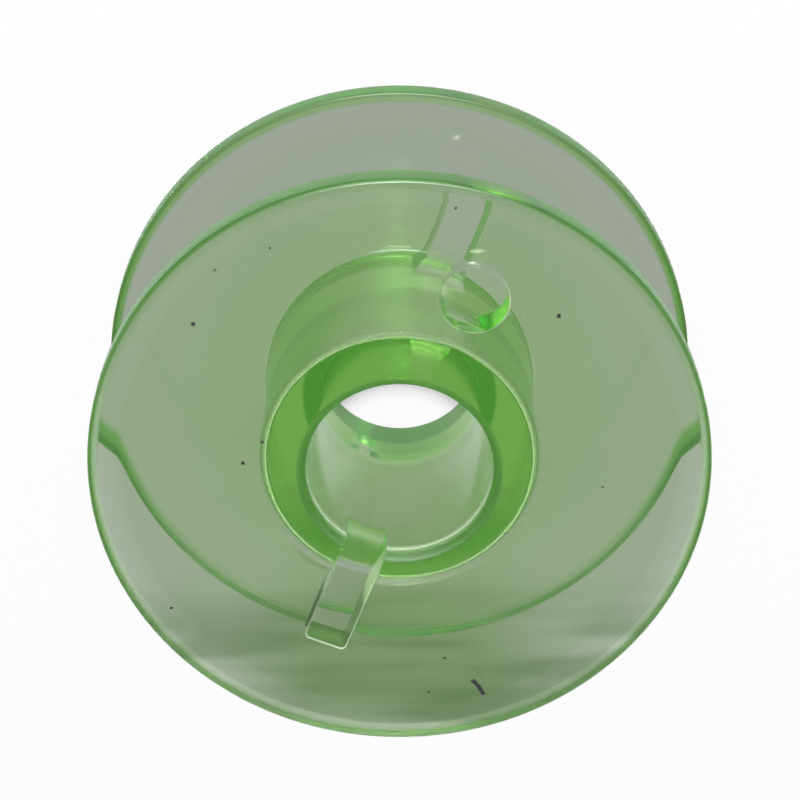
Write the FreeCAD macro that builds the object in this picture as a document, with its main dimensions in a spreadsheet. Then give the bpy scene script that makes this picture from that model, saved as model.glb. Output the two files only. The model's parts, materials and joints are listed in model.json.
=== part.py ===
"""Clear plastic sewing machine bobbin: two flanges on a hollow hub, moulded in one piece.

The axis is +Z and the origin is the middle of the lower flange's outer face. The thread holes
and the winding notches lie along X: the upper flange has its round hole at +X and its notch at
-X, and the lower flange has them the other way round. All lengths are in millimetres.
"""
import FreeCAD, Part
import os
import Sketcher

LABEL = "bobbin"

# Driving dimensions: name, value, meaning.
SIZES = [
    ("flange_diameter", 20.5, "outside diameter of both flanges"),
    ("spool_height", 9.2, "overall height, over both flanges"),
    ("rim_thickness", 0.9, "thickness of a flange at its rim"),
    ("flange_draft", 4.5, "slope of a flange's inner face, in degrees"),
    ("hub_diameter", 8.7, "outside diameter of the hub, where the thread is wound"),
    ("root_radius", 0.4, "rounding between the hub and a flange"),
    ("rim_radius", 0.15, "rounding of the rims' outer edges"),
    ("bore_diameter", 5.6, "diameter of the bore's straight seat at its lower end"),
    ("bore_seat", 1.2, "length of the straight seat"),
    ("bore_draft", 2.2, "slope of the bore's wall above the seat, in degrees"),
    ("mouth_radius", 0.3, "rounding of the bore's upper mouth"),
    ("thread_hole_diameter", 2.2, "diameter of a round thread hole"),
    ("thread_hole_distance", 6.6, "from the axis to the middle of a thread hole"),
    ("notch_width", 1.4, "width of a winding notch"),
    ("notch_reach", 6.9, "from the axis to the outer end of a winding notch"),
    ("notch_ramp_radius", 1.15, "rounding from the bore's wall up to a notch's floor"),
    ("notch_back", 0.1, "how far a notch's cut starts inside the bore"),
    ("cut_clearance", 0.01, "how far a cut runs past the flange's inner face, beside the hub's root"),
]

# Sizes worked out from the driving ones: name, formula, meaning.
DERIVED = [
    ("flange_at_hub", "rim_thickness + (flange_diameter - hub_diameter) / 2 * tan(flange_draft * 1 deg)",
     "thickness of a flange where its inner face meets the hub"),
    ("flange_at_root", "flange_at_hub - root_radius * tan(flange_draft * 1 deg)",
     "thickness of a flange at the outer edge of the hub's root"),
    ("bore_mouth_diameter", "bore_diameter + 2 * (spool_height - bore_seat) * tan(bore_draft * 1 deg)",
     "diameter of the bore at its upper mouth, before the rounding"),
    ("cut_depth", "flange_at_root + cut_clearance", "depth of the cuts that go through a flange"),
    ("notch_start", "sqrt((bore_diameter / 2) ^ 2 - (notch_width / 2) ^ 2) - notch_back",
     "from the axis to the plumb back of a notch's cut, which lies in the open bore"),
    ("ramp_depth", "notch_ramp_radius + cut_clearance", "how far that plumb back goes below a notch's floor"),
]

TOLERANCE = 1e-4


def make_sheet(doc):
    """The spreadsheet that holds every size, one row each."""
    sheet = doc.addObject("Spreadsheet::Sheet", "sizes")
    rows = [(name, str(value), note) for name, value, note in SIZES]
    rows += [(name, "=" + formula, note) for name, formula, note in DERIVED]
    for row, (name, content, note) in enumerate(rows, start=1):
        sheet.set(f"A{row}", name)
        sheet.set(f"B{row}", content)
        sheet.setAlias(f"B{row}", name)
        sheet.set(f"C{row}", note)
    doc.recompute()
    return sheet


def plane(body, role):
    """One of the body's own origin planes."""
    return next(item for item in body.Origin.OriginFeatures if item.Role == role)


def new_sketch(body, name, role, height=None):
    """A sketch on one of the body's origin planes, lifted to a height given as a formula."""
    sketch = body.newObject("Sketcher::SketchObject", name)
    sketch.AttachmentSupport = [(plane(body, role), "")]
    sketch.MapMode = "FlatFace"
    if height:
        sketch.setExpression("AttachmentOffset.Base.z", height)
    return sketch


def bind(sketch, kind, name, formula, *where):
    """A named dimension of a sketch that follows a formula on the sheet."""
    value = float(sketch.evalExpression(formula))
    number = sketch.addConstraint(Sketcher.Constraint(kind, *where, value))
    sketch.renameConstraint(number, name)
    sketch.setExpression(f"Constraints.{name}", formula)


def outline(sketch, points):
    """A closed chain of straight lines through the points, numbered from 0."""
    corners = [FreeCAD.Vector(x, y, 0) for x, y in points]
    count = len(corners)
    for number, corner in enumerate(corners):
        sketch.addGeometry(Part.LineSegment(corner, corners[(number + 1) % count]), False)
    for number in range(count):
        sketch.addConstraint(Sketcher.Constraint("Coincident", number, 2, (number + 1) % count, 1))


def round_corners(sketch, sheet, corners):
    """Rounds the corner at the end of each line. The dimensions stay on the sharp corner."""
    for line, radius in corners:
        arc = sketch.GeometryCount
        sketch.fillet(line, 2, getattr(sheet, radius), True, True)
        bind(sketch, "Radius", f"{radius}_{line}", f"sizes.{radius}", arc)


def draw_section(body, sheet):
    """Half section of the spool, with the axis as the sketch's vertical axis."""
    rim = sheet.flange_diameter / 2
    hub = sheet.hub_diameter / 2
    seat = sheet.bore_diameter / 2
    mouth = sheet.bore_mouth_diameter / 2
    top = sheet.spool_height
    sketch = new_sketch(body, "section", "XZ_Plane")
    outline(sketch, [
        (seat, 0),
        (rim, 0),
        (rim, sheet.rim_thickness),
        (hub, sheet.flange_at_hub),
        (hub, top - sheet.flange_at_hub),
        (rim, top - sheet.rim_thickness),
        (rim, top),
        (mouth, top),
        (seat, sheet.bore_seat),
    ])
    lower_face, lower_rim, lower_slope, hub_wall, _, upper_rim, upper_face, _, seat_wall = range(9)
    origin = (-1, 1)
    horizontal_axis = -1
    sketch.addConstraint(Sketcher.Constraint("PointOnObject", lower_face, 1, horizontal_axis))
    for line in (lower_face, upper_face):
        sketch.addConstraint(Sketcher.Constraint("Horizontal", line))
    for line in (lower_rim, hub_wall, upper_rim, seat_wall):
        sketch.addConstraint(Sketcher.Constraint("Vertical", line))
    bind(sketch, "DistanceX", "lower_rim", "sizes.flange_diameter / 2", *origin, lower_rim, 1)
    bind(sketch, "DistanceX", "upper_rim", "sizes.flange_diameter / 2", *origin, upper_rim, 1)
    bind(sketch, "DistanceX", "hub", "sizes.hub_diameter / 2", *origin, hub_wall, 1)
    bind(sketch, "DistanceX", "seat", "sizes.bore_diameter / 2", *origin, lower_face, 1)
    bind(sketch, "DistanceX", "mouth", "sizes.bore_mouth_diameter / 2", *origin, upper_face, 2)
    bind(sketch, "DistanceY", "height", "sizes.spool_height", *origin, upper_rim, 2)
    bind(sketch, "DistanceY", "lower_rim_thickness", "sizes.rim_thickness", lower_rim, 1, lower_rim, 2)
    bind(sketch, "DistanceY", "upper_rim_thickness", "sizes.rim_thickness", upper_rim, 1, upper_rim, 2)
    bind(sketch, "DistanceY", "lower_flange", "sizes.flange_at_hub", *origin, hub_wall, 1)
    bind(sketch, "DistanceY", "upper_flange", "sizes.flange_at_hub", hub_wall, 2, upper_rim, 2)
    bind(sketch, "DistanceY", "seat_length", "sizes.bore_seat", seat_wall, 2, seat_wall, 1)
    round_corners(sketch, sheet, [
        (lower_face, "rim_radius"),
        (lower_slope, "root_radius"),
        (hub_wall, "root_radius"),
        (upper_rim, "rim_radius"),
        (upper_face, "mouth_radius"),
    ])
    return sketch


def pocket_from(body, sketch, name, length):
    """A cut as long as a formula says."""
    pocket = body.newObject("PartDesign::Pocket", name)
    pocket.Profile = sketch
    pocket.Type = "Length"
    pocket.setExpression("Length", length)
    return pocket


def cut_thread_hole(body):
    """Round hole that leads the thread's end out through the upper flange."""
    sketch = new_sketch(body, "thread_hole_outline", "XY_Plane", "sizes.spool_height")
    centre = FreeCAD.Vector(1, 0, 0)
    sketch.addGeometry(Part.Circle(centre, FreeCAD.Vector(0, 0, 1), 1), False)
    sketch.addConstraint(Sketcher.Constraint("PointOnObject", 0, 3, -1))
    bind(sketch, "DistanceX", "distance", "sizes.thread_hole_distance", -1, 1, 0, 3)
    bind(sketch, "Diameter", "diameter", "sizes.thread_hole_diameter", 0)
    return pocket_from(body, sketch, "thread_hole", "sizes.cut_depth")


def cut_notch(body, sheet):
    """Radial notch: from the bore up a rounded ramp, across the hub's end and through the flange."""
    top = sheet.spool_height
    floor = top - sheet.cut_depth
    low = floor - sheet.ramp_depth
    reach = sheet.notch_reach
    start = sheet.notch_start
    sketch = new_sketch(body, "notch_section", "XZ_Plane")
    outline(sketch, [(0, top), (-reach, top), (-reach, floor), (-start, floor), (-start, low), (0, low)])
    top_side, outer_end, floor_side, plumb_back, low_side, axis_side = range(6)
    origin = (-1, 1)
    vertical_axis = -2
    for line in (top_side, floor_side, low_side):
        sketch.addConstraint(Sketcher.Constraint("Horizontal", line))
    for line in (outer_end, plumb_back, axis_side):
        sketch.addConstraint(Sketcher.Constraint("Vertical", line))
    sketch.addConstraint(Sketcher.Constraint("PointOnObject", axis_side, 2, vertical_axis))
    bind(sketch, "DistanceY", "height", "sizes.spool_height", *origin, top_side, 1)
    bind(sketch, "DistanceX", "reach", "sizes.notch_reach", outer_end, 1, *origin)
    bind(sketch, "DistanceX", "start", "sizes.notch_start", plumb_back, 1, *origin)
    bind(sketch, "DistanceY", "depth", "sizes.cut_depth", outer_end, 2, outer_end, 1)
    bind(sketch, "DistanceY", "ramp", "sizes.ramp_depth", plumb_back, 2, plumb_back, 1)
    round_corners(sketch, sheet, [(floor_side, "notch_ramp_radius")])
    notch = pocket_from(body, sketch, "winding_notch", "sizes.notch_width")
    notch.SideType = "Symmetric"
    return notch


def repeat_on_lower_flange(body, cuts):
    """The same cuts turned half a turn about the Y axis at mid height."""
    middle = new_sketch(body, "middle", "XY_Plane", "sizes.spool_height / 2")
    turning_line = Part.LineSegment(FreeCAD.Vector(0, -1, 0), FreeCAD.Vector(0, 1, 0))
    middle.addGeometry(turning_line, True)
    body.Document.recompute()
    pattern = body.newObject("PartDesign::PolarPattern", "lower_flange_cuts")
    pattern.Originals = cuts
    pattern.Axis = (middle, ["V_Axis"])
    pattern.Angle = 360
    pattern.Occurrences = 2
    body.Tip = pattern
    return pattern


def make_bobbin(doc, sheet):
    """The whole bobbin as one body."""
    body = doc.addObject("PartDesign::Body", LABEL)
    body.Label = LABEL
    section = draw_section(body, sheet)
    spool = body.newObject("PartDesign::Revolution", "spool")
    spool.Profile = section
    spool.ReferenceAxis = (section, ["V_Axis"])
    spool.Angle = 360
    hole = cut_thread_hole(body)
    notch = cut_notch(body, sheet)
    lower = repeat_on_lower_flange(body, [hole, notch])
    doc.recompute()
    return body, [spool, hole, notch, lower]


def check(doc, body, steps):
    """Stops on a failed object, an unsound shape or a cut that takes nothing away."""
    failed = [item.Name for item in doc.Objects if {"Invalid", "Error"} & set(item.State)]
    if failed:
        raise RuntimeError("failed objects: " + ", ".join(failed))
    shape = body.Shape
    if shape.isNull() or not shape.isValid() or len(shape.Solids) != 1:
        raise RuntimeError("the bobbin is not one sound solid")
    for before, after in zip(steps, steps[1:]):
        removed = before.Shape.Volume - after.Shape.Volume
        if removed <= TOLERANCE:
            raise RuntimeError(f"{after.Name} takes nothing away")
        print(f"{after.Name} takes away {removed:.3f} mm3")
    box = shape.optimalBoundingBox()
    print(f"{body.Label}: {box.XLength:.3f} x {box.YLength:.3f} x {box.ZLength:.3f} mm")
    print(f"{body.Label}: volume {shape.Volume:.3f} mm3")


def main():
    os.makedirs("parts", exist_ok=True)
    doc = FreeCAD.newDocument("sewing_bobbin")
    sheet = make_sheet(doc)
    body, steps = make_bobbin(doc, sheet)
    check(doc, body, steps)
    body.Shape.exportStep(f"parts/{body.Label}.step")


main()
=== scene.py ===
import json
import math

import bmesh
import bpy
from mathutils import Matrix, Vector


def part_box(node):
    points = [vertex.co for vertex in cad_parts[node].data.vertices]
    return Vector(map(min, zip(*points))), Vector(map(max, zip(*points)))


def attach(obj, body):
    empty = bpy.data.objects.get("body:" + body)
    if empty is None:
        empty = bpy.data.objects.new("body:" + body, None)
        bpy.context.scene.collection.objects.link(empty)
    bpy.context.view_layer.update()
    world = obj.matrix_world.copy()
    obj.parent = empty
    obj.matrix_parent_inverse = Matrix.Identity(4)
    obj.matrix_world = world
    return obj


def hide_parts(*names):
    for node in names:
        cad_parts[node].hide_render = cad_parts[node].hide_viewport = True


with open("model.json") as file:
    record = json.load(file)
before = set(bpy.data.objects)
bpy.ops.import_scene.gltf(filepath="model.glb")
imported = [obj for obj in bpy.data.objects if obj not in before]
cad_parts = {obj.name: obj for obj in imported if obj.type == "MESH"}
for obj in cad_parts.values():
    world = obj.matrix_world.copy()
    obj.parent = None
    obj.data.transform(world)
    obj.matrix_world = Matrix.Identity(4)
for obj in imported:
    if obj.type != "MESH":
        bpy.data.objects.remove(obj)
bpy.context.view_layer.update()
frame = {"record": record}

MM = 0.001

# Sizes of the bobbin, in metres. The outside and the bore come from the frame.
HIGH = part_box("bobbin")[1]
RIM = HIGH.x
TOP = HIGH.z
BORE = next(mount for mount in frame["record"]["mounts"] if mount["name"] == "bore")
SEAT = BORE["dims"]["r_mm"] * MM
SEAT_LENGTH = BORE["dims"]["length_mm"] * MM
BORE_DRAFT = math.radians(2.2)
MOUTH = SEAT + (TOP - SEAT_LENGTH) * math.tan(BORE_DRAFT)
HUB = 4.35 * MM
ROOT_RADIUS = 0.4 * MM
RIM_THICKNESS = 0.9 * MM
FLANGE_DRAFT = math.radians(4.5)
FLANGE_AT_HUB = RIM_THICKNESS + (RIM - HUB) * math.tan(FLANGE_DRAFT)
FLANGE_AT_ROOT = FLANGE_AT_HUB - ROOT_RADIUS * math.tan(FLANGE_DRAFT)
CUT_CLEARANCE = 0.01 * MM
CUT_DEPTH = FLANGE_AT_ROOT + CUT_CLEARANCE
THREAD_HOLE_RADIUS = 1.1 * MM
THREAD_HOLE_DISTANCE = 6.6 * MM
NOTCH_WIDTH = 1.4 * MM
NOTCH_REACH = 6.9 * MM
NOTCH_RAMP_RADIUS = 1.15 * MM
NOTCH_BACK = 0.1 * MM
NOTCH_START = math.sqrt(SEAT ** 2 - (NOTCH_WIDTH / 2) ** 2) - NOTCH_BACK

# Fine edges that the mould leaves.
RIM_RADIUS = 0.15 * MM
INNER_RIM_RADIUS = 0.05 * MM
MOUTH_RADIUS = 0.3 * MM
SEAT_EDGE_RADIUS = 0.06 * MM
LIP_RADIUS = 0.08 * MM
NOTCH_CORNER_RADIUS = 0.15 * MM
CRISP_EDGE = math.radians(28)

# How finely the shapes are divided.
TURN_STEPS = 288
LONG_EDGE = 1.0 * MM
LONG_EDGE_CUTS = 5
HOLE_SEGMENTS = 96
LIP_SEGMENTS = 4
NOTCH_CORNER_SEGMENTS = 5
MERGE_DISTANCE = 1e-7

# How far a cutter stands past what it cuts, and the least turn at its throat.
CUTTER_RISE = 1.0 * MM
CUTTER_LIFT = 0.002 * MM
THROAT_ANGLE = 1.0

# The photograph's view: a long lens that looks down on the upper flange, tilted off the axis.
PHOTO_SIDE = 800
PHOTO_FOCAL = 2742.0
PHOTO_MIDDLE = (399.5, 412.4)
PHOTO_PIXEL = (400, 400)
VIEW_DISTANCE = 94.1 * MM
VIEW_TILT = math.radians(25.5)
VIEW_AZIMUTH = math.radians(21.5)
SENSOR = 36.0

# The studio. A lamp's strength of 1 shows a white floor as white.
FLOOR_GAP = 0.02 * MM
FLOOR_SIZE = 2.0
FLOOR_COLOUR = (0.95, 0.95, 0.95, 1)
SHADOW_FLOOR = 0.38
SHADOW_COLOUR = (0.36, 0.4, 0.33, 1)
HUB_SHADOW_COLOUR = (0.21, 0.3, 0.16, 1)
HUB_SHADOW_REACH = 12.5 * MM
HUB_SHADOW_EDGE = (2.5 * MM, 7.0 * MM)
MOUTH_SHADOW_EDGE = (MOUTH - 0.4 * MM, MOUTH + 0.2 * MM)
RIM_SHADOW_EDGE = (RIM - 0.7 * MM, RIM + 0.3 * MM)
FILL_LIGHT = 0.05
BACKDROP = 0.45
KEY_LIGHT = 1.0
KEY_TILT = math.radians(24)
KEY_DISTANCE = 0.8
KEY_SIZE = (0.12, 0.12)
WINDOW_LIGHT = 0.2
WINDOW_ELEVATION = math.radians(30)
WINDOW_DISTANCE = 0.4
WINDOW_SIZE = (0.26, 0.12)
LIGHT_BOUNCES = 12
WHITE = (1, 1, 1, 1)

# Dirt on the upper flange, by its place in the photograph: across, down and radius in pixels.
DIRT_SPECKS = (
    (193, 324, 2.6), (559, 316, 2.2), (243, 463, 2.2), (262, 442, 1.8), (171, 608, 1.8), (603, 487, 1.2),
    (270, 248, 1.3), (215, 270, 1.2), (456, 208, 1.4), (372, 535, 1.2), (445, 658, 1.6), (429, 692, 1.3),
)
FIBRE_ENDS = ((473, 679), (485, 695))
FIBRE_WIDTH = 6.0
FIBRE_BEND = 0.25
FIBRE_RAGGED = 0.06 * MM
DIRT_COLOUR = (0.0006, 0.0006, 0.0004, 1)

# Where a mark fades: in shares of a speck's radius or the fibre's half width and half length, or by depth.
SPECK_EDGE = (0.6, 1.4)
FIBRE_EDGE = (0.6, 1.3)
FIBRE_TIP = (0.9, 1.1)
FIBRE_DEPTH = (0.05 * MM, 0.1 * MM)
SHADE_STREAK_SIDE = (-6.5 * MM, -3.4 * MM)
SHADE_STREAK_DEPTH = (TOP - 0.06 * MM, TOP - 0.03 * MM)

# Colours of the plastic: clear. Over it: a painted glow of deep green at the rims and in the bore's seat
# and mouth, standing in for light piped through the plastic; painted shade on the upper notch's walls;
# painted shade in streaks on one side of the upper flange.
# The painted rim glow is paler on the side at the photograph's foot, and paler all round on the upper rim's
# face.
CLEAR_TINT = (0.96, 0.98, 0.98, 1)
RIM_FACE_PAINTED_GLOW = (0.32, 0.8, 0.17, 1)
RIM_WALL_PAINTED_GLOW = (0.16, 0.5, 0.06, 1)
SEAT_PAINTED_GLOW = (0.12, 0.44, 0.05, 1)
NOTCH_PAINTED_SHADE = (0.08, 0.14, 0.06, 1)
SHADE_STREAK_TINT = (0.36, 0.5, 0.31, 1)
FOOT_RIM_GLOW_SHARE = 0.35
FOOT_RIM_GLOW_EDGE = (-8.0 * MM, -2.0 * MM)
UPPER_RIM_GLOW_SHARE = 0.3
MOUTH_GLOW_SHARE = 0.75
BODY_COLOUR = (0.5, 0.98, 0.0, 1)
BODY_DENSITY = 190.0
REFRACTION = 1.57

# Roughness: of polished faces, what handling adds there, and what the mould's grain and dirt add.
POLISHED = 0.02
HANDLED = 0.05
HUB_GRAIN = 0.18
BORE_GRAIN = 0.16
SEAT_GRAIN = 0.3
MOUTH_GRAIN = 0.45
RIM_GRAIN = 0.3
NOTCH_GRAIN = 0.35
DIRT_GRAIN = 0.5
SHADE_STREAK_GRAIN = 0.04
WAVE_HEIGHT = 0.004 * MM

# Noise, in waves a millimetre, and the part of its range from 0 to 1 that shows.
NOISE_MIDDLE = 0.5
RAGGED_WAVES = 12.0
STREAK_WAVES = 0.75
STREAK_STRETCH = (1, 7, 1)
STREAK_RANGE = (0.4, 0.62)
HANDLING_WAVES = 0.35
HANDLING_RANGE = (0.45, 0.7)
SURFACE_WAVES = 0.3


def view_axes():
    """The photograph's right, up and back directions, and where its lens is."""
    side = Vector((math.cos(VIEW_AZIMUTH), math.sin(VIEW_AZIMUTH), 0))
    axis = Vector((0, 0, 1))
    back = math.cos(VIEW_TILT) * axis + math.sin(VIEW_TILT) * side
    up = math.cos(VIEW_TILT) * side - math.sin(VIEW_TILT) * axis
    return up.cross(back), up, back, Vector((0, 0, TOP / 2)) + VIEW_DISTANCE * back


def point_in_photo(across, down):
    """The point of the upper flange's face that the photograph shows at a pixel."""
    right, up, back, lens = view_axes()
    ray = (across - PHOTO_MIDDLE[0]) * right + (PHOTO_MIDDLE[1] - down) * up - PHOTO_FOCAL * back
    return lens + ray * (TOP - lens.z) / ray.z


def photo_pixel():
    """How wide a pixel of the photograph is on the upper flange."""
    across, down = PHOTO_PIXEL
    return (point_in_photo(across + 1, down) - point_in_photo(across, down)).length


class Field:
    """A number that varies over a surface. Arithmetic on it adds Math nodes."""

    def __init__(self, nodes, socket):
        self.nodes = nodes
        self.socket = socket

    def math(self, operation, *values):
        return self.nodes.add("ShaderNodeMath", {"operation": operation}, dict(enumerate(values)))

    def __add__(self, other):
        return self.math("ADD", self, other)

    def __radd__(self, other):
        return self.math("ADD", other, self)

    def __sub__(self, other):
        return self.math("SUBTRACT", self, other)

    def __rsub__(self, other):
        return self.math("SUBTRACT", other, self)

    def __mul__(self, other):
        return self.math("MULTIPLY", self, other)

    def __rmul__(self, other):
        return self.math("MULTIPLY", other, self)


class Nodes:
    """Adds nodes to a material's or the world's tree."""

    def __init__(self, tree):
        self.tree = tree
        tree.nodes.clear()

    def add(self, kind, settings=None, inputs=None, output=0):
        """A node of a kind, its settings, then its sockets' values or links. Gives one output."""
        node = self.tree.nodes.new(kind)
        for name, value in (settings or {}).items():
            setattr(node, name, value)
        for name, value in (inputs or {}).items():
            if isinstance(value, Field):
                self.tree.links.new(value.socket, node.inputs[name])
            else:
                node.inputs[name].default_value = value
        return Field(self, node.outputs[output]) if len(node.outputs) else node


def new_material(name):
    material = bpy.data.materials.new(name)
    material.use_nodes = True
    return material, Nodes(material.node_tree)


def object_from(bm, name):
    """A finished mesh as an object at the origin."""
    mesh = bpy.data.meshes.new(name)
    bm.to_mesh(mesh)
    bm.free()
    piece = bpy.data.objects.new(name, mesh)
    bpy.context.scene.collection.objects.link(piece)
    return piece


def flat_face(bm, corners):
    """One face in the XZ plane. A corner is its x and z, then its rounding's radius and segments."""
    vertices = [bm.verts.new((x, 0, z)) for x, z, _, _ in corners]
    bm.faces.new(vertices)
    for vertex, (_, _, radius, segments) in zip(vertices, corners):
        if radius:
            round_corner(bm, vertex, radius, segments)


def round_corner(bm, corner, radius, segments):
    """Rounds one corner of a flat face."""
    first, second = (edge.other_vert(corner).co - corner.co for edge in corner.link_edges)
    reach = radius / math.tan(first.angle(second) / 2)
    bmesh.ops.bevel(
        bm, geom=[corner], offset=reach, offset_type="OFFSET", affect="VERTICES",
        segments=segments, profile=0.5, material=-1, clamp_overlap=True,
    )


def spool_solid():
    """The bobbin without its holes: its half section, rounded and spun about the axis."""
    bm = bmesh.new()
    flat_face(bm, [
        (SEAT, 0, SEAT_EDGE_RADIUS, 4),
        (RIM, 0, RIM_RADIUS, 8),
        (RIM, RIM_THICKNESS, INNER_RIM_RADIUS, 4),
        (HUB, FLANGE_AT_HUB, ROOT_RADIUS, 16),
        (HUB, TOP - FLANGE_AT_HUB, ROOT_RADIUS, 16),
        (RIM, TOP - RIM_THICKNESS, INNER_RIM_RADIUS, 4),
        (RIM, TOP, RIM_RADIUS, 8),
        (MOUTH, TOP, MOUTH_RADIUS, 12),
        (SEAT, SEAT_LENGTH, 0, 0),
    ])
    bmesh.ops.delete(bm, geom=bm.faces[:], context="FACES_ONLY")
    long_edges = [edge for edge in bm.edges if edge.calc_length() > LONG_EDGE]
    bmesh.ops.subdivide_edges(bm, edges=long_edges, cuts=LONG_EDGE_CUTS)
    bmesh.ops.spin(
        bm, geom=bm.verts[:] + bm.edges[:], axis=(0, 0, 1), cent=(0, 0, 0),
        angle=2 * math.pi, steps=TURN_STEPS, use_merge=True,
    )
    bmesh.ops.remove_doubles(bm, verts=bm.verts[:], dist=MERGE_DISTANCE)
    bmesh.ops.recalc_face_normals(bm, faces=bm.faces[:])
    return object_from(bm, "bobbin_shell")


def add_lip(bm):
    """Widens a cutter's top into a head with a round throat, which leaves a rounded lip."""
    top = max(bm.faces, key=lambda face: face.calc_center_median().z)
    middle = top.calc_center_median()
    half = [max(abs(vert.co[i] - middle[i]) for vert in top.verts) for i in (0, 1)]
    spread = Vector((1 + 2 * LIP_RADIUS / half[0], 1 + 2 * LIP_RADIUS / half[1], 1))
    head = bmesh.ops.extrude_discrete_faces(bm, faces=[top])["faces"]
    bmesh.ops.scale(bm, vec=spread, verts=head[0].verts[:], space=Matrix.Translation(-middle))
    head = bmesh.ops.extrude_discrete_faces(bm, faces=head)["faces"]
    bmesh.ops.translate(bm, vec=(0, 0, CUTTER_RISE), verts=head[0].verts[:])
    bmesh.ops.recalc_face_normals(bm, faces=bm.faces[:])
    at_top = TOP + CUTTER_LIFT
    throat = [
        edge for edge in bm.edges
        if not edge.is_convex and all(abs(vert.co.z - at_top) < CUTTER_LIFT for vert in edge.verts)
        and edge.calc_face_angle() > THROAT_ANGLE
    ]
    bmesh.ops.bevel(
        bm, geom=throat, offset=LIP_RADIUS, offset_type="OFFSET", affect="EDGES",
        segments=LIP_SEGMENTS, profile=0.5, material=-1,
    )


def thread_hole_cutter():
    """A round plug for the upper flange's thread hole."""
    bm = bmesh.new()
    depth = CUT_DEPTH + CUTTER_LIFT
    place = Matrix.Translation((THREAD_HOLE_DISTANCE, 0, TOP + CUTTER_LIFT - depth / 2))
    bmesh.ops.create_cone(
        bm, cap_ends=True, segments=HOLE_SEGMENTS, depth=depth, matrix=place,
        radius1=THREAD_HOLE_RADIUS, radius2=THREAD_HOLE_RADIUS,
    )
    add_lip(bm)
    return object_from(bm, "thread_hole_cutter")


def notch_cutter():
    """A bar from the axis outwards, for the notch across the hub's end and the upper flange."""
    bm = bmesh.new()
    floor = TOP - CUT_DEPTH
    low = floor - NOTCH_RAMP_RADIUS - CUTTER_LIFT
    flat_face(bm, [
        (0, TOP + CUTTER_LIFT, 0, 0),
        (-NOTCH_REACH, TOP + CUTTER_LIFT, 0, 0),
        (-NOTCH_REACH, floor, 0, 0),
        (-NOTCH_START, floor, NOTCH_RAMP_RADIUS, 12),
        (-NOTCH_START, low, 0, 0),
        (0, low, 0, 0),
    ])
    bmesh.ops.translate(bm, vec=(0, -NOTCH_WIDTH / 2, 0), verts=bm.verts[:])
    other_side = bmesh.ops.extrude_face_region(bm, geom=bm.faces[:], use_keep_orig=True)["geom"]
    moved = [item for item in other_side if isinstance(item, bmesh.types.BMVert)]
    bmesh.ops.translate(bm, vec=(0, NOTCH_WIDTH, 0), verts=moved)
    bmesh.ops.recalc_face_normals(bm, faces=bm.faces[:])
    outer_end = [
        edge for edge in bm.edges
        if all(vert.co.x < -NOTCH_REACH + CUTTER_LIFT for vert in edge.verts)
        and abs(edge.verts[0].co.z - edge.verts[1].co.z) > CUT_DEPTH / 2
    ]
    bmesh.ops.bevel(
        bm, geom=outer_end, offset=NOTCH_CORNER_RADIUS, offset_type="OFFSET", affect="EDGES",
        segments=NOTCH_CORNER_SEGMENTS, profile=0.5, material=-1,
    )
    add_lip(bm)
    return object_from(bm, "notch_cutter")


def turned_over(cutter):
    """A copy of a cutter for the lower flange, half a turn about the Y axis at mid height."""
    copy = cutter.copy()
    copy.data = cutter.data.copy()
    half_turn = Matrix.Rotation(math.pi, 4, "Y")
    up = Matrix.Translation((0, 0, TOP / 2))
    copy.data.transform(up @ half_turn @ up.inverted())
    bpy.context.scene.collection.objects.link(copy)
    return copy


def cut(piece, cutters):
    """Takes the cutters' shapes out of a piece, for good."""
    for cutter in cutters:
        modifier = piece.modifiers.new(cutter.name, "BOOLEAN")
        modifier.operation = "DIFFERENCE"
        modifier.solver = "EXACT"
        modifier.object = cutter
    depsgraph = bpy.context.evaluated_depsgraph_get()
    finished = bpy.data.meshes.new_from_object(piece.evaluated_get(depsgraph))
    piece.modifiers.clear()
    piece.data = finished
    for cutter in cutters:
        bpy.data.objects.remove(cutter)


def smooth_with_crisp_edges(piece):
    """Smooth shading, with a crisp edge where two faces meet at a wide angle."""
    bm = bmesh.new()
    bm.from_mesh(piece.data)
    bmesh.ops.remove_doubles(bm, verts=bm.verts[:], dist=MERGE_DISTANCE)
    for face in bm.faces:
        face.smooth = True
    for edge in bm.edges:
        edge.smooth = len(edge.link_faces) == 2 and edge.calc_face_angle() < CRISP_EDGE
    bm.to_mesh(piece.data)
    bm.free()
    weighted = piece.modifiers.new("flat_faces_stay_flat", "WEIGHTED_NORMAL")
    weighted.keep_sharp = True
    weighted.weight = 100


def make_bobbin():
    piece = spool_solid()
    upper_cuts = [thread_hole_cutter(), notch_cutter()]
    lower_cuts = [turned_over(cutter) for cutter in upper_cuts]
    cut(piece, upper_cuts + lower_cuts)
    smooth_with_crisp_edges(piece)
    piece.data.materials.clear()
    piece.data.materials.append(clear_green_plastic())
    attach(piece, "root")
    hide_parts("bobbin")


def ramp(value, start, end):
    """0 up to the start, 1 from the end on, smooth between them."""
    settings = {"interpolation_type": "SMOOTHSTEP"}
    inputs = {"Value": value, "From Min": start, "From Max": end}
    return value.nodes.add("ShaderNodeMapRange", settings, inputs)


def largest(first, *others):
    for other in others:
        first = first.math("MAXIMUM", first, other)
    return first


def absolute(value):
    return value.math("ABSOLUTE", value)


def distance(nodes, place, middle):
    """How far a place is from a point."""
    return nodes.add("ShaderNodeVectorMath", {"operation": "DISTANCE"}, {0: place, 1: middle}, "Value")


def split(nodes, vector):
    return [nodes.add("ShaderNodeSeparateXYZ", None, {0: vector}, axis) for axis in "XYZ"]


def blend(nodes, factor, first, second):
    """Goes from one colour to another."""
    return nodes.add("ShaderNodeMix", {"data_type": "RGBA"}, {0: factor, 6: first, 7: second}, 2)


def noise(nodes, place, waves_per_mm, detail):
    inputs = {"Vector": place, "Scale": waves_per_mm / MM, "Detail": detail}
    return nodes.add("ShaderNodeTexNoise", None, inputs)


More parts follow.
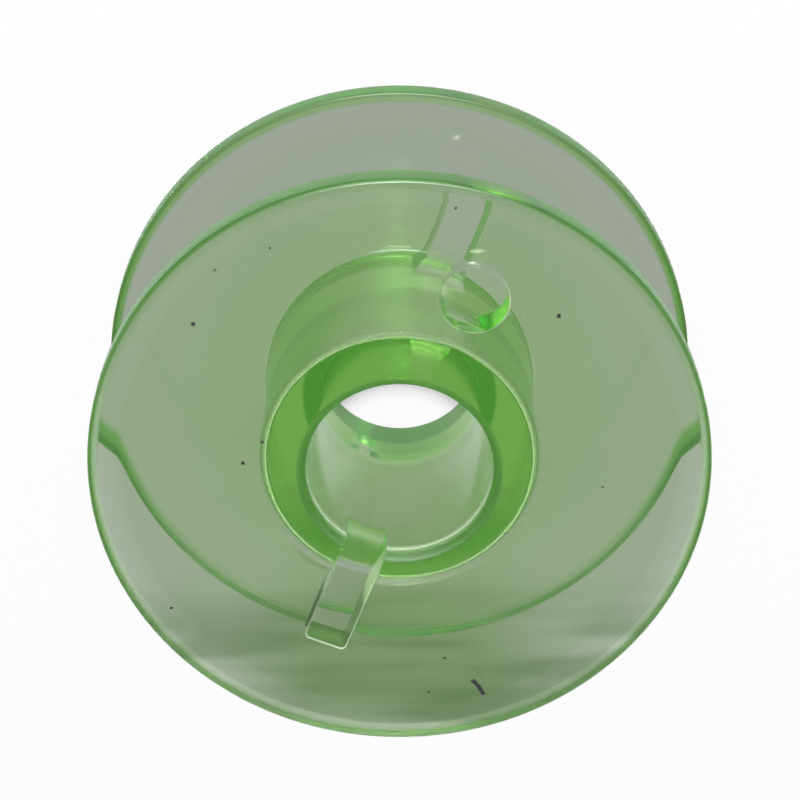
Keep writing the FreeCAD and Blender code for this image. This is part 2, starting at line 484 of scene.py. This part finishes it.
def dirt_mask(nodes, place):
    """1 on the specks and the short fibre that lie on the upper flange."""
    ragged = noise(nodes, place, RAGGED_WAVES, 0.0) - NOISE_MIDDLE
    nearest = None
    for across, down, radius in DIRT_SPECKS:
        away = distance(nodes, place, point_in_photo(across, down)) * (1 / (radius * photo_pixel()))
        nearest = away if nearest is None else nearest.math("MINIMUM", nearest, away)
    specks = 1.0 - ramp(nearest + ragged, *SPECK_EDGE)
    start, end = (point_in_photo(*pixel) for pixel in FIBRE_ENDS)
    along = end - start
    settings = {"vector_type": "TEXTURE"}
    turn = (0, 0, math.atan2(along.y, along.x))
    fibre_place = nodes.add("ShaderNodeMapping", settings, {
        "Vector": place, "Location": (start + end) / 2, "Rotation": turn,
    })
    run, side, height = split(nodes, fibre_place)
    bend = side + ragged * FIBRE_RAGGED + run * run * (FIBRE_BEND / along.length)
    half_width = FIBRE_WIDTH * photo_pixel() / 2
    half_length = along.length / 2
    fibre = 1.0 - ramp(absolute(bend), *(share * half_width for share in FIBRE_EDGE))
    fibre = fibre * (1.0 - ramp(absolute(run), *(share * half_length for share in FIBRE_TIP)))
    fibre = fibre * (1.0 - ramp(absolute(height), *FIBRE_DEPTH))
    return largest(specks, fibre)


def shade_streak_mask(nodes, place):
    """Streaks of painted shade across one side of the upper flange's upper face."""
    across = nodes.add("ShaderNodeMapping", {"vector_type": "TEXTURE"}, {
        "Vector": place, "Rotation": (0, 0, VIEW_AZIMUTH), "Scale": STREAK_STRETCH,
    })
    run, _, height = split(nodes, across)
    streaks = ramp(noise(nodes, across, STREAK_WAVES, 1.0), *STREAK_RANGE)
    side = 1.0 - ramp(run, *SHADE_STREAK_SIDE)
    return side * ramp(height, *SHADE_STREAK_DEPTH) * streaks


def clear_green_plastic():
    """Clear yellow-green plastic: its colour deepens with the way that light goes through it.

    The flanges' faces are polished. The hub, the bore, the notches and the rims keep the mould's grain.
    """
    material, nodes = new_material("clear_green_plastic")
    place = nodes.add("ShaderNodeTexCoord", None, None, "Object")
    x, y, z = split(nodes, place)
    square = x * x + y * y
    reach = square.math("SQRT", square)
    lower = 1.0 - ramp(z, TOP / 2 - 1.0 * MM, TOP / 2 + 1.0 * MM)
    under_top = 1.0 - ramp(z, TOP - 0.5 * MM, TOP - 0.3 * MM)
    rim_wall = ramp(reach, RIM - 0.17 * MM, RIM - 0.1 * MM)
    rim_face = ramp(reach, RIM - 0.38 * MM, RIM - 0.24 * MM)
    up_photo = math.cos(VIEW_AZIMUTH) * x + math.sin(VIEW_AZIMUTH) * y
    rim_glow_share = FOOT_RIM_GLOW_SHARE + (1 - FOOT_RIM_GLOW_SHARE) * ramp(up_photo, *FOOT_RIM_GLOW_EDGE)
    root = HUB + ROOT_RADIUS
    root_top = FLANGE_AT_HUB + ROOT_RADIUS
    between_flanges = ramp(z, root_top, root_top + 0.3 * MM) * under_top
    hub = ramp(reach, HUB - 0.2 * MM, HUB - 0.1 * MM) * (1.0 - ramp(reach, root, root + 0.3 * MM))
    hub = between_flanges * hub
    bore = 1.0 - ramp(reach, MOUTH + 0.2 * MM, MOUTH + 0.35 * MM)
    mouth = bore * (1.0 - under_top)
    seat = bore * (1.0 - ramp(z, SEAT_LENGTH, SEAT_LENGTH + 0.3 * MM))
    in_width = 1.0 - ramp(absolute(y), NOTCH_WIDTH / 2 + 0.03 * MM, NOTCH_WIDTH / 2 + 0.08 * MM)
    in_notch = in_width * (1.0 - ramp(reach, NOTCH_REACH + 0.03 * MM, NOTCH_REACH + 0.08 * MM))
    right_side = ramp(x, -0.5 * MM, 0.5 * MM)
    cut_end = CUT_DEPTH + 0.4 * MM
    high = ramp(z, TOP - cut_end - 0.1 * MM, TOP - cut_end + 0.1 * MM)
    high = high * (1.0 - ramp(z, TOP - 0.06 * MM, TOP))
    low = ramp(z, 0.0, 0.06 * MM) * (1.0 - ramp(z, cut_end - 0.1 * MM, cut_end + 0.1 * MM))
    upper_notch = in_notch * high * (1.0 - right_side)
    lower_notch = in_notch * low * right_side
    dirt = dirt_mask(nodes, place)
    shade_streaks = shade_streak_mask(nodes, place)
    rim_face_glow_share = UPPER_RIM_GLOW_SHARE + (1 - UPPER_RIM_GLOW_SHARE) * lower
    # Painted glow: the rims' deep green stands in for light piped through the plastic. It is weaker on the
    # foot side and on the upper rim's face.
    tint = blend(nodes, rim_face * rim_glow_share * rim_face_glow_share, CLEAR_TINT, RIM_FACE_PAINTED_GLOW)
    tint = blend(nodes, rim_wall * rim_glow_share, tint, RIM_WALL_PAINTED_GLOW)
    # Painted glow: deep green in the bore's seat and mouth, standing in for light piped along the hub's
    # wall.
    tint = blend(nodes, largest(seat, MOUTH_GLOW_SHARE * mouth), tint, SEAT_PAINTED_GLOW)
    # Painted shade on the walls of the upper notch.
    tint = blend(nodes, upper_notch * ramp(reach, HUB + 0.4 * MM, HUB + 1.0 * MM), tint, NOTCH_PAINTED_SHADE)
    # Painted shade in streaks on one side of the upper flange. The same streaks also add a little
    # roughness.
    tint = blend(nodes, shade_streaks, tint, SHADE_STREAK_TINT)
    tint = blend(nodes, dirt, tint, DIRT_COLOUR)
    handling = ramp(noise(nodes, place, HANDLING_WAVES, 1.0), *HANDLING_RANGE)
    polished = POLISHED + HANDLED * handling
    moulded = largest(
        HUB_GRAIN * hub, BORE_GRAIN * bore, SEAT_GRAIN * seat, MOUTH_GRAIN * mouth,
        RIM_GRAIN * rim_face, NOTCH_GRAIN * largest(upper_notch, lower_notch),
    )
    roughness = polished + moulded + DIRT_GRAIN * dirt + SHADE_STREAK_GRAIN * shade_streaks
    waves = noise(nodes, place, SURFACE_WAVES, 0.0)
    surface = nodes.add("ShaderNodeBump", None, {"Strength": 1.0, "Distance": WAVE_HEIGHT, "Height": waves})
    shader = nodes.add("ShaderNodeBsdfPrincipled", None, {
        "Base Color": tint,
        "Roughness": roughness,
        "IOR": REFRACTION,
        "Transmission Weight": 1.0,
        "Normal": surface,
    })
    body = nodes.add("ShaderNodeVolumeAbsorption", None, {"Color": BODY_COLOUR, "Density": BODY_DENSITY})
    nodes.add("ShaderNodeOutputMaterial", None, {"Surface": shader, "Volume": body})
    return material


def seen_rays(nodes):
    """1 for the rays that show a surface: straight on, in a reflection or through the plastic."""
    camera = nodes.add("ShaderNodeLightPath", None, None, "Is Camera Ray")
    glossy = nodes.add("ShaderNodeLightPath", None, None, "Is Glossy Ray")
    through = nodes.add("ShaderNodeLightPath", None, None, "Is Transmission Ray")
    return largest(camera, glossy, through)


def foot_side_point(shift):
    """The point of the floor that lies so far from the axis, towards the photograph's foot."""
    return Vector((-shift * math.cos(VIEW_AZIMUTH), -shift * math.sin(VIEW_AZIMUTH), -FLOOR_GAP))


def add_floor():
    """A white floor with the bobbin's shadow: tinted under the upper flange, deep green beyond the hub."""
    bm = bmesh.new()
    drop = Matrix.Translation((0, 0, -FLOOR_GAP))
    bmesh.ops.create_grid(bm, x_segments=1, y_segments=1, size=FLOOR_SIZE, matrix=drop)
    floor = object_from(bm, "floor")
    material, nodes = new_material("white_floor")
    place = nodes.add("ShaderNodeTexCoord", None, None, "Object")
    from_flange = distance(nodes, place, foot_side_point(TOP * math.tan(KEY_TILT)))
    from_hub = distance(nodes, place, foot_side_point(HUB_SHADOW_REACH))
    under_flange = ramp(from_flange, *MOUTH_SHADOW_EDGE) * (1.0 - ramp(from_flange, *RIM_SHADOW_EDGE))
    beyond_hub = 1.0 - ramp(from_hub, *HUB_SHADOW_EDGE)
    shadow = blend(nodes, beyond_hub, SHADOW_COLOUR, HUB_SHADOW_COLOUR)
    lit = nodes.add("ShaderNodeBsdfDiffuse", None, {"Color": FLOOR_COLOUR})
    shade = nodes.add("ShaderNodeEmission", None, {
        "Color": blend(nodes, under_flange, WHITE, shadow), "Strength": 1.0,
    })
    painted = seen_rays(nodes) * largest(under_flange, SHADOW_FLOOR)
    mixed = nodes.add("ShaderNodeMixShader", None, {0: painted, 1: lit, 2: shade})
    nodes.add("ShaderNodeOutputMaterial", None, {"Surface": mixed})
    floor.data.materials.append(material)


def add_world():
    world = bpy.data.worlds.new("studio")
    world.use_nodes = True
    nodes = Nodes(world.node_tree)
    strength = FILL_LIGHT + seen_rays(nodes) * (BACKDROP - FILL_LIGHT)
    light = nodes.add("ShaderNodeBackground", None, {"Color": WHITE, "Strength": strength})
    nodes.add("ShaderNodeOutputWorld", None, {"Surface": light})
    bpy.context.scene.world = world


def add_lamp(name, elevation, distance, size, strength):
    """A soft lamp on the lens's side that looks at the bobbin. Its strength is what a white floor gets."""
    flat = math.cos(elevation)
    aim = Vector((flat * math.cos(VIEW_AZIMUTH), flat * math.sin(VIEW_AZIMUTH), math.sin(elevation)))
    data = bpy.data.lights.new(name, "AREA")
    data.shape = "ELLIPSE"
    data.size, data.size_y = size
    data.energy = strength * math.pi ** 2 * distance ** 2 / aim.z
    lamp = bpy.data.objects.new(name, data)
    lamp.location = Vector((0, 0, TOP / 2)) + distance * aim
    lamp.rotation_euler = aim.to_track_quat("Z", "Y").to_euler()
    bpy.context.scene.collection.objects.link(lamp)
    return lamp


def add_camera():
    right, up, back, place = view_axes()
    data = bpy.data.cameras.new("camera")
    data.sensor_width = SENSOR
    data.lens = PHOTO_FOCAL / PHOTO_SIDE * SENSOR
    data.shift_x = (PHOTO_SIDE / 2 - PHOTO_MIDDLE[0]) / PHOTO_SIDE
    data.shift_y = (PHOTO_MIDDLE[1] - PHOTO_SIDE / 2) / PHOTO_SIDE
    data.clip_start = 1 * MM
    camera = bpy.data.objects.new("camera", data)
    bpy.context.scene.collection.objects.link(camera)
    turn = Matrix((right, up, back)).transposed().to_4x4()
    camera.matrix_world = Matrix.Translation(place) @ turn
    bpy.context.scene.camera = camera


make_bobbin()
add_floor()
add_world()
key_lamp = add_lamp("key_lamp", math.pi / 2 - KEY_TILT, KEY_DISTANCE, KEY_SIZE, KEY_LIGHT)
key_lamp.visible_glossy = False
window_lamp = add_lamp("window_lamp", WINDOW_ELEVATION, WINDOW_DISTANCE, WINDOW_SIZE, WINDOW_LIGHT)
window_lamp.visible_diffuse = False
add_camera()

# Light turns many times inside the plastic. The floor needs none of its own light back.
scene = bpy.context.scene
scene.view_settings.view_transform = "Standard"
scene.cycles.use_denoising = True
scene.cycles.max_bounces = LIGHT_BOUNCES
scene.cycles.transmission_bounces = LIGHT_BOUNCES
scene.cycles.glossy_bounces = LIGHT_BOUNCES
scene.cycles.diffuse_bounces = 0
scene.cycles.use_light_tree = False
scene.cycles.caustics_refractive = False
